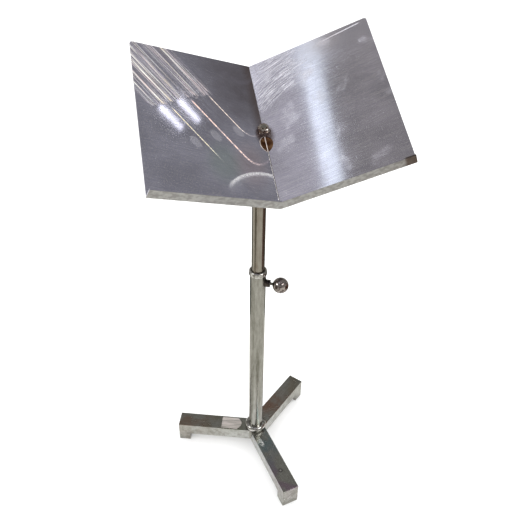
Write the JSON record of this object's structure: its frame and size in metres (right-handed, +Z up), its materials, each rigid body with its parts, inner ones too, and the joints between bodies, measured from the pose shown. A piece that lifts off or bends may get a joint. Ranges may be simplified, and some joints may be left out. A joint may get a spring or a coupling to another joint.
{
  "type": "music stand",
  "caption": "Desk-size music stand: a V-shaped polished metal tray with a ledge on a telescoping round column, a ball-ended clamp screw and a low three-legged base.",
  "frame": {"origin": "on the floor under the column, where the column's axis meets the plane of the three feet", "axes": "+Z up along the column; the reader stands at -Y, facing the tray; +X to the reader's right"},
  "size_m": [0.4162, 0.3681, 0.9631],
  "materials": {
    "leg_plating": "worn nickel plate over ground steel",
    "tube_plating": "satin nickel plate",
    "bright_plating": "bright chrome plate",
    "polished_sheet": "hand-buffed sheet with swirl marks",
    "weld_bead": "dressed weld",
    "dark_steel": "heat-darkened steel",
    "turned_steel": "turned steel",
    "old_brass": "tarnished brass",
    "red_fibre": "pressed fibre"
  },
  "bodies": {
    "base": {"leg_front": "leg_plating", "leg_left": "leg_plating", "leg_right": "leg_plating", "foot_front": "leg_plating", "foot_left": "leg_plating", "foot_right": "leg_plating", "hub_plug": "turned_steel", "hub_bolt": "turned_steel", "hub_washer": "turned_steel", "base_collar": "bright_plating", "lower_tube": "tube_plating", "top_collar": "bright_plating", "clamp_boss": "dark_steel"},
    "clamp_pad": {"clamp_shoe": "old_brass"},
    "clamp_handle": {"clamp_screw": "tube_plating", "ball_knob": "bright_plating"},
    "guide": {"guide_sleeve": "old_brass"},
    "mast": {"guide_screw": "turned_steel", "guide_washer": "turned_steel", "mast_plug": "turned_steel", "upper_tube": "tube_plating", "mast_head": "tube_plating", "tilt_bolt": "turned_steel", "tilt_nut": "turned_steel", "tilt_washers": "old_brass"},
    "lug": {"tray_lug": "tube_plating", "lug_washer": "red_fibre", "tray_nut": "bright_plating"},
    "tray": {"saddle": "old_brass", "left_plate": "polished_sheet", "right_plate": "polished_sheet", "fold_bead": "weld_bead", "seat_washer": "bright_plating"}
  },
  "joints": [
    {"name": "mast_slide", "type": "slide", "parent": "base", "child": "guide", "axis": [0, 0, 1], "range_m": [-0.1, 0.255]},
    {"name": "mast_turn", "type": "hinge", "parent": "guide", "child": "mast", "pos_m": [0, 0, 0.2], "axis": [0, 0, 1], "continuous": true},
    {"name": "tray_tilt", "type": "hinge", "parent": "mast", "child": "lug", "pos_m": [0, 0, 0.785], "axis": [-1, 0, 0], "range_deg": [-54, 30]},
    {"name": "tray_swivel", "type": "hinge", "parent": "lug", "child": "tray", "pos_m": [0.004, 0, 0.785], "axis": [0, -0.512, 0.859], "range_deg": [-27.7, 12.3]},
    {"name": "clamp_feed", "type": "slide", "parent": "base", "child": "clamp_pad", "axis": [0.9516, -0.3074, 0], "range_m": [0, 0.00254]},
    {"name": "knob_turn", "type": "hinge", "parent": "clamp_pad", "child": "clamp_handle", "pos_m": [0.01903, -0.00615, 0.493], "axis": [0.9516, -0.3074, 0], "range_deg": [0, 720]}
  ],
  "couplings": [
    {"joint": "clamp_feed", "follows": "knob_turn", "m_per_rad": 0.00020213}
  ]
}
